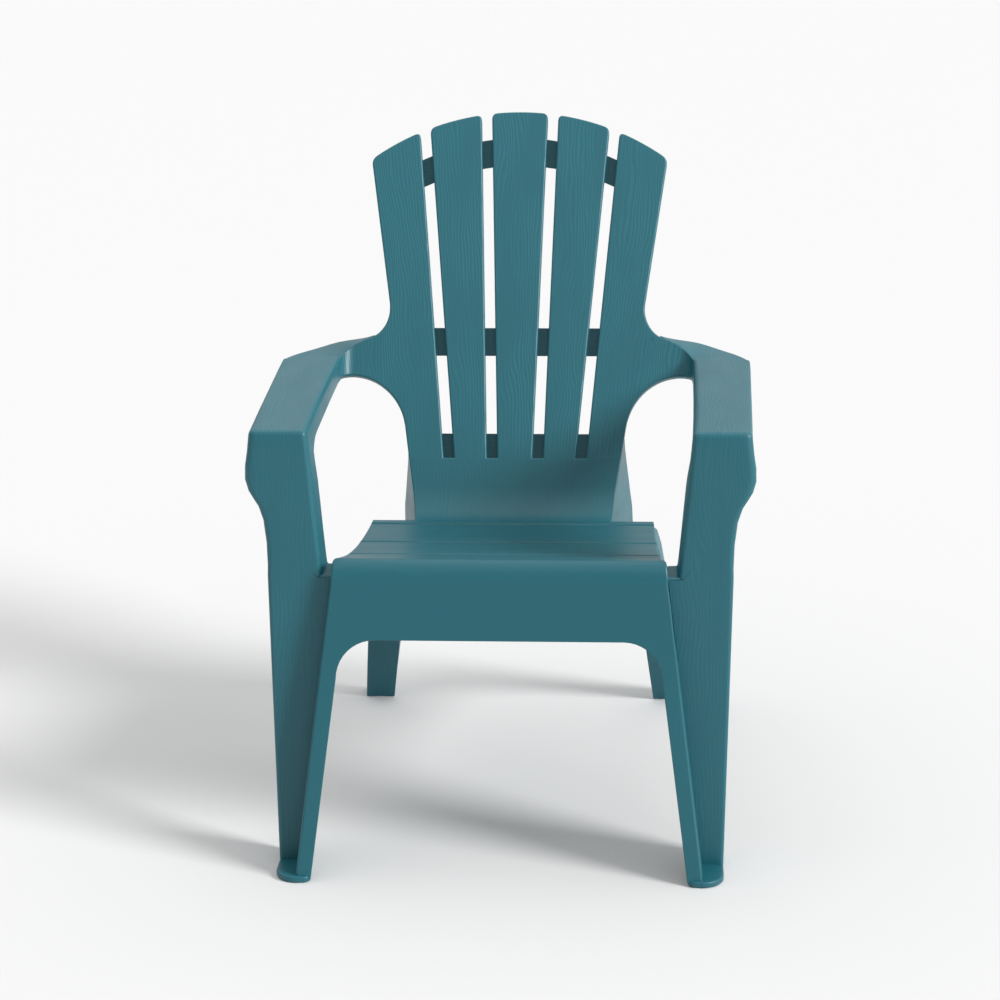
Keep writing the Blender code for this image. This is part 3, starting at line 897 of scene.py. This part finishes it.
REAR_STATIONS = (  # height, inner edge, outer edge, depth of the flange, front border of the web (x, t)
    (0.304, 0.169, 0.182, 0.016, 0.157, 0.57), (0.2985, 0.1704, 0.1925, 0.036, 0.1583, 0.576),
    (0.2925, 0.1714, 0.1985, 0.052, 0.1597, 0.582), (0.285, 0.1723, 0.2028, 0.062, 0.1613, 0.59),
    (0.26, 0.174, 0.209, 0.068, 0.166, 0.613), (0.23, 0.176, 0.214, 0.065, 0.1705, 0.637),
    (0.2, 0.178, 0.219, 0.062, 0.1746, 0.657), (0.175, 0.18, 0.2235, 0.06, 0.178, 0.672),
    (0.15, 0.1825, 0.228, 0.057, 0.1822, 0.688), (0.105, 0.187, 0.236, 0.053, 0.187, 0.711),
    (0.05, 0.194, 0.2405, 0.048, 0.194, 0.7325), (0.0003, 0.2005, 0.244, 0.0438, 0.2005, 0.7519),
)
WEB_ABOVE_LEG = (  # heights of the web's border on the back and of its rear border
    (0.478, 0.455), (0.46, 0.438), (0.44, 0.42), (0.42, 0.404), (0.395, 0.387), (0.368, 0.366),
)
WEB_BEHIND_BACK, WEB_BESIDE_BACK = 0.003, 0.0005
WEB_REAR = (0.17, 0.11, 0.32)  # x of the web's rear border at a height, and its lean above that
WEB_UNDER_BACK = (  # front border below the back as (x, t, z), rear border as (x, z)
    ((0.137, 0.454, 0.3632), (0.1662, 0.3555)), ((0.1472, 0.512, 0.344), (0.1675, 0.345)),
)
FLANGE_FLARE = 0.002


def build_rear_leg(label):
    """A rear leg, and the web that carries the edge of the back down to it."""
    skin = Skin()
    upright = Grain(Vector((0.2, 0.7, 0.1)), X, Z, 0.0, 0.5)
    sideways = Grain(Vector((0.2, 0.6, 0.3)), Y, Z, 0.0)
    face = [[on_rear_panel(inner, z), on_rear_panel(outer, z),
             on_rear_panel(outer + FLANGE_FLARE, z, flange)]
            for z, inner, outer, flange, _, _ in REAR_STATIONS]
    skin.sheet(face, "rear_leg_panel_" + label, lambda row, column: sideways if column else upright)
    web = []
    for z, rear_z in WEB_ABOVE_LEG:
        front = on_back(fan(FAN_EDGE, z) - WEB_BESIDE_BACK, z, WEB_BEHIND_BACK)
        web.append([front, on_rear_panel(WEB_REAR[0] - WEB_REAR[1] * (rear_z - WEB_REAR[2]), rear_z)])
    web += [[Vector(front), on_rear_panel(*rear)] for front, rear in WEB_UNDER_BACK]
    web += [[Vector((x, t, z)), on_rear_panel(inner, z)] for z, inner, _, _, x, t in REAR_STATIONS[:9]]
    web.append([face[9][0], face[9][0]])
    web = [[a, a.lerp(b, 0.5), b] for a, b in web]
    skin.sheet(web, "rear_leg_web_" + label, sideways)
    skin.round_off(lambda middle: True, REAR_LEG_ROUND)
    for name, mesh in skin.finish(on_rear_panel(0.2, 0.18), -Y).items():
        add_piece(name, mesh, label == "right")


# Rails behind the slats and the feet

def plate(node, outline, thickness, mirrored=False, radius=PLATE_ROUND):
    """A closed plate from its front outline and the vector through it, with its edges rounded."""
    shape = bmesh.new()
    layer = shape.loops.layers.float_vector.new("grain")
    shape.loops.layers.float.new("flame")
    relief = shape.loops.layers.float.new("relief")
    front = shape.faces.new([shape.verts.new(point) for point in outline])
    turned = bmesh.ops.extrude_face_region(shape, geom=[front])
    moved = [item for item in turned["geom"] if isinstance(item, bmesh.types.BMVert)]
    bmesh.ops.translate(shape, verts=moved, vec=thickness)
    bmesh.ops.recalc_face_normals(shape, faces=shape.faces)
    bends = [edge for edge in shape.edges if len(edge.link_faces) == 2 and edge.calc_face_angle() > SHARP]
    bmesh.ops.bevel(shape, geom=bends, offset=radius, segments=3, profile=0.5, affect="EDGES")
    grain = Grain(outline[0], Z, X, 0.0)
    for face in shape.faces:
        for loop in face.loops:
            loop[layer] = grain.at(loop.vert.co)
            loop[relief] = 0.6
    add_piece(node, as_mesh(shape, node), mirrored)


RAIL_WIDTH = 0.038
RAIL_DROP, RAIL_SAG = 0.0305, 0.035  # top rail below the crown at X = 0, and the more per metre sideways
RAIL_HALF, RAIL_STEPS = 0.2, 16
CROSS_RAILS = (("middle", 0.58, 0.617), ("lower", 0.436, 0.4765))  # lower and upper edge
RAIL_INSET = 0.008  # ends of these rails inside the edge of the fan
RAIL_OVERLAP = 0.0002  # rails reach so far into the rims of the slats


def rail_drop(x):
    """How far the top rail lies below the crown of the slats."""
    return RAIL_DROP + RAIL_SAG * abs(x)


def build_rails():
    """The three rails on the rear side of the slats."""
    depth = SLAT_DEPTH - RAIL_OVERLAP
    for name, low, high in CROSS_RAILS:
        half = fan(FAN_EDGE, low) - RAIL_INSET
        corners = ((-half, low), (half, low), (half, high), (-half, high))
        plate("back_rail_" + name, [on_back(x, z, depth) for x, z in corners], BACKWARD * WALL)
    places = [RAIL_HALF * (2 * step / RAIL_STEPS - 1) for step in range(RAIL_STEPS + 1)]
    outline = [on_back(x, crown(x) - rail_drop(x) - RAIL_WIDTH, depth) for x in places]
    outline += [on_back(x, crown(x) - rail_drop(x), depth) for x in reversed(places)]
    plate("back_rail_top", outline, BACKWARD * WALL)


SOLE_END, SOLE_SIDE, SOLE_THICKNESS = 0.112, 0.291, 0.008
SOLE_NOTCH = (0.0135, 0.0125)  # t of the sole's step behind the strip, at the strip's outer and inner edge
WEB_CLEARANCE = 0.001


def build_foot(label):
    """Sole of a front leg: a thin flat plate with rounded edges, its front corners curved."""
    inner, behind = leg_inside(0), leg_outside(0) - WALL - WEB_CLEARANCE
    outline = [(behind, SOLE_END), (behind, SOLE_NOTCH[0]), (inner, SOLE_NOTCH[1])]
    outline += arc((inner + 0.01, 0.011), 0.01, 190, 270, 6)
    outline += arc((0.262, 0.033), (0.029, 0.033), 270, 360, 10) + [(SOLE_SIDE, SOLE_END)]
    corners = [Vector((x, t, 0)) for x, t in outline]
    plate("front_foot_" + label, corners, Z * SOLE_THICKNESS, label == "right", FOOT_ROUND)


# Material: the grain is counted in rings or waves per metre

FIELDS = (  # noises: waves across and along the grain, detail, offset
    (9, 3, 2.0, 0.0), (38, 9, 2.0, 7.0), (520, 16, 2.0, 3.0), (24, 7, 1.0, 11.0),
)
MEANDER, TIP = 0.07, 0.01  # sideways wander of the flames, roundness of their tips
FLAME_ACROSS, FLAME_ALONG, STRAIGHT_RINGS = 85.0, 26.0, 210.0
RIPPLE_BEND, DRIFT_BEND = 4.2, 9.0  # rings that these noises shift the lines by
RING_SHARPNESS, RING_SHARE, FIBRE_SHARE = 1.6, 0.65, 0.35
PATCH_RANGE, FAINTEST = (0.3, 0.62), 0.15
BUMP_STRENGTH, BUMP_HEIGHT = 0.45, 0.00035
LOW_TEAL, HIGH_TEAL = (0.0094, 0.104, 0.134, 1), (0.0152, 0.144, 0.183, 1)
ROUGHNESS, IOR = (0.36, 0.5), 1.49


def add_node(tree, kind, inputs, **settings):
    """A node with these settings; its inputs, by name or place, are plain values or other sockets."""
    node = tree.nodes.new("ShaderNode" + kind)
    for name, value in settings.items():
        setattr(node, name, value)
    for name, value in inputs.items():
        if isinstance(value, bpy.types.NodeSocket):
            tree.links.new(value, node.inputs[name])
        else:
            node.inputs[name].default_value = value
    return node


def calculate(tree, operation, *values):
    return add_node(tree, "Math", dict(enumerate(values)), operation=operation).outputs[0]


def moulded_plastic():
    """Teal polypropylene with an embossed wood grain, read from each face's own grain coordinates."""
    made = bpy.data.materials.new("moulded_plastic")
    made.use_nodes = True
    tree = made.node_tree
    shader = tree.nodes["Principled BSDF"]
    place, flame, relief = (add_node(tree, "Attribute", {}, attribute_name=name)
                            for name in ("grain", "flame", "relief"))
    across, along, seed = add_node(tree, "SeparateXYZ", {0: place.outputs["Vector"]}).outputs

    def maths(operation, *values):
        return calculate(tree, operation, *values)

    def noise(waves_across, waves_along, detail, offset):
        point = add_node(tree, "CombineXYZ", {0: maths("MULTIPLY", across, waves_across),
                                              1: maths("MULTIPLY", along, waves_along),
                                              2: maths("ADD", seed, offset)}).outputs[0]
        return add_node(tree, "TexNoise", {"Vector": point, "Scale": 1.0, "Detail": detail}).outputs["Fac"]

    drift, ripple, fibre, patch = (noise(*field) for field in FIELDS)
    off_centre = maths("ADD", across, maths("MULTIPLY_ADD", drift, MEANDER, -MEANDER / 2))
    square = maths("MULTIPLY", off_centre, off_centre)
    bow = maths("DIVIDE", square, maths("ADD", maths("ABSOLUTE", off_centre), TIP))
    flamed = maths("MULTIPLY_ADD", bow, FLAME_ACROSS, maths("MULTIPLY", along, FLAME_ALONG))
    straight = maths("MULTIPLY", across, STRAIGHT_RINGS)
    rings = add_node(tree, "Mix", {"Factor": flame.outputs["Fac"], "A": straight, "B": flamed},
                     data_type="FLOAT").outputs["Result"]
    phase = maths("MULTIPLY_ADD", ripple, RIPPLE_BEND, rings)
    phase = maths("MULTIPLY_ADD", drift, DRIFT_BEND, phase)
    wave = maths("SINE", maths("MULTIPLY", phase, math.tau))
    lines = maths("POWER", maths("MULTIPLY_ADD", wave, 0.5, 0.5), RING_SHARPNESS)
    strength = add_node(tree, "MapRange", {"Value": patch, "From Min": PATCH_RANGE[0],
                                           "From Max": PATCH_RANGE[1], "To Min": FAINTEST})
    lines = maths("MULTIPLY", lines, strength.outputs["Result"])
    height = maths("MULTIPLY_ADD", lines, RING_SHARE, maths("MULTIPLY", fibre, FIBRE_SHARE))
    height = maths("MULTIPLY", height, relief.outputs["Fac"])
    bump = add_node(tree, "Bump", {"Strength": BUMP_STRENGTH, "Distance": BUMP_HEIGHT, "Height": height})
    colour = add_node(tree, "ValToRGB", {"Fac": height})
    colour.color_ramp.elements[0].color = LOW_TEAL
    colour.color_ramp.elements[1].color = HIGH_TEAL
    gloss = add_node(tree, "MapRange", {"Value": ripple, "To Min": ROUGHNESS[0], "To Max": ROUGHNESS[1]})
    tree.links.new(bump.outputs["Normal"], shader.inputs["Normal"])
    tree.links.new(colour.outputs["Color"], shader.inputs["Base Color"])
    tree.links.new(gloss.outputs["Result"], shader.inputs["Roughness"])
    shader.inputs["IOR"].default_value = IOR
    return made


def matte(name, colour):
    made = bpy.data.materials.new(name)
    made.use_nodes = True
    shader = made.node_tree.nodes["Principled BSDF"]
    shader.inputs["Base Color"].default_value = colour
    shader.inputs["Roughness"].default_value = 0.9
    shader.inputs["Specular IOR Level"].default_value = 0.1
    return made


# Studio

BACKDROP = 0.955  # what the camera sees beyond the floor
SKY_LEVEL, SKY_BEHIND, SKY_ABOVE, SKY_LEAST = 0.135, 0.25, 1.1, 0.1
KEY_FROM, KEY_WIDTH, KEY_STRENGTH = (2.0, -1.0, 1.3), math.radians(20), 3.15
FLOOR_HALF, FLOOR_BELOW = 60.0, 0.0003
FLOOR_GREY = (0.7, 0.7, 0.7, 1)
CAMERA_AT = (0.1875, -3.7582, 1.3984)
CAMERA_TURN = (3.088, 14.717, -0.435)  # yaw, pitch down and roll, in degrees
LENS, SENSOR = 100.8, 36.0


def build_studio():
    scene = bpy.context.scene
    scene.view_settings.view_transform = "Standard"
    scene.world = bpy.data.worlds.new("studio")
    scene.world.use_nodes = True
    light_world(scene.world.node_tree)
    shape = bmesh.new()
    bmesh.ops.create_grid(shape, x_segments=1, y_segments=1, size=FLOOR_HALF)
    floor = add_object("floor", as_mesh(shape, "floor"))
    floor.location.z = -FLOOR_BELOW
    floor.data.materials.append(matte("pale_floor", FLOOR_GREY))
    add_key()


def light_world(tree):
    """Brighter overhead and behind the chair than in front of it; the camera itself sees one pale grey."""
    place = add_node(tree, "TexCoord", {}).outputs["Generated"]
    direction = add_node(tree, "SeparateXYZ", {0: place}).outputs
    behind = calculate(tree, "MULTIPLY_ADD", direction["Y"], SKY_BEHIND, SKY_LEVEL)
    level = calculate(tree, "MULTIPLY_ADD", direction["Z"], SKY_ABOVE, behind)
    level = calculate(tree, "MAXIMUM", level, SKY_LEAST)
    camera_ray = add_node(tree, "LightPath", {}).outputs["Is Camera Ray"]
    seen = add_node(tree, "Mix", {"Factor": camera_ray, "A": level, "B": BACKDROP}, data_type="FLOAT")
    tree.nodes["Background"].inputs["Color"].default_value = (1, 1, 1, 1)
    tree.links.new(seen.outputs["Result"], tree.nodes["Background"].inputs["Strength"])


def add_key():
    """A broad lamp far away, so that it lights the whole floor evenly."""
    lamp = bpy.data.lights.new("key", "SUN")
    lamp.angle, lamp.energy = KEY_WIDTH, KEY_STRENGTH
    light = add_object("key", lamp)
    light.location = KEY_FROM
    light.rotation_euler = (-Vector(KEY_FROM)).to_track_quat("-Z", "Y").to_euler()


def build_camera():
    """A long lens in front of the chair, a little to its left and above it."""
    yaw, pitch, roll = (math.radians(angle) for angle in CAMERA_TURN)
    forward = Vector((-math.sin(yaw) * math.cos(pitch), math.cos(yaw) * math.cos(pitch), -math.sin(pitch)))
    level = Vector((math.cos(yaw), math.sin(yaw), 0))
    upright = level.cross(forward)
    right = level * math.cos(roll) + upright * math.sin(roll)
    up = upright * math.cos(roll) - level * math.sin(roll)
    lens = bpy.data.cameras.new("camera")
    lens.lens, lens.sensor_width = LENS, SENSOR
    camera = add_object("camera", lens)
    turn = Matrix((right, up, -forward)).transposed().to_4x4()
    camera.matrix_world = Matrix.Translation(CAMERA_AT) @ turn
    bpy.context.scene.camera = camera


plastic = moulded_plastic()
build_centre()
build_rails()
for side_name in ("left", "right"):
    build_side_frame(side_name)
    build_rear_leg(side_name)
    build_foot(side_name)
build_studio()
build_camera()
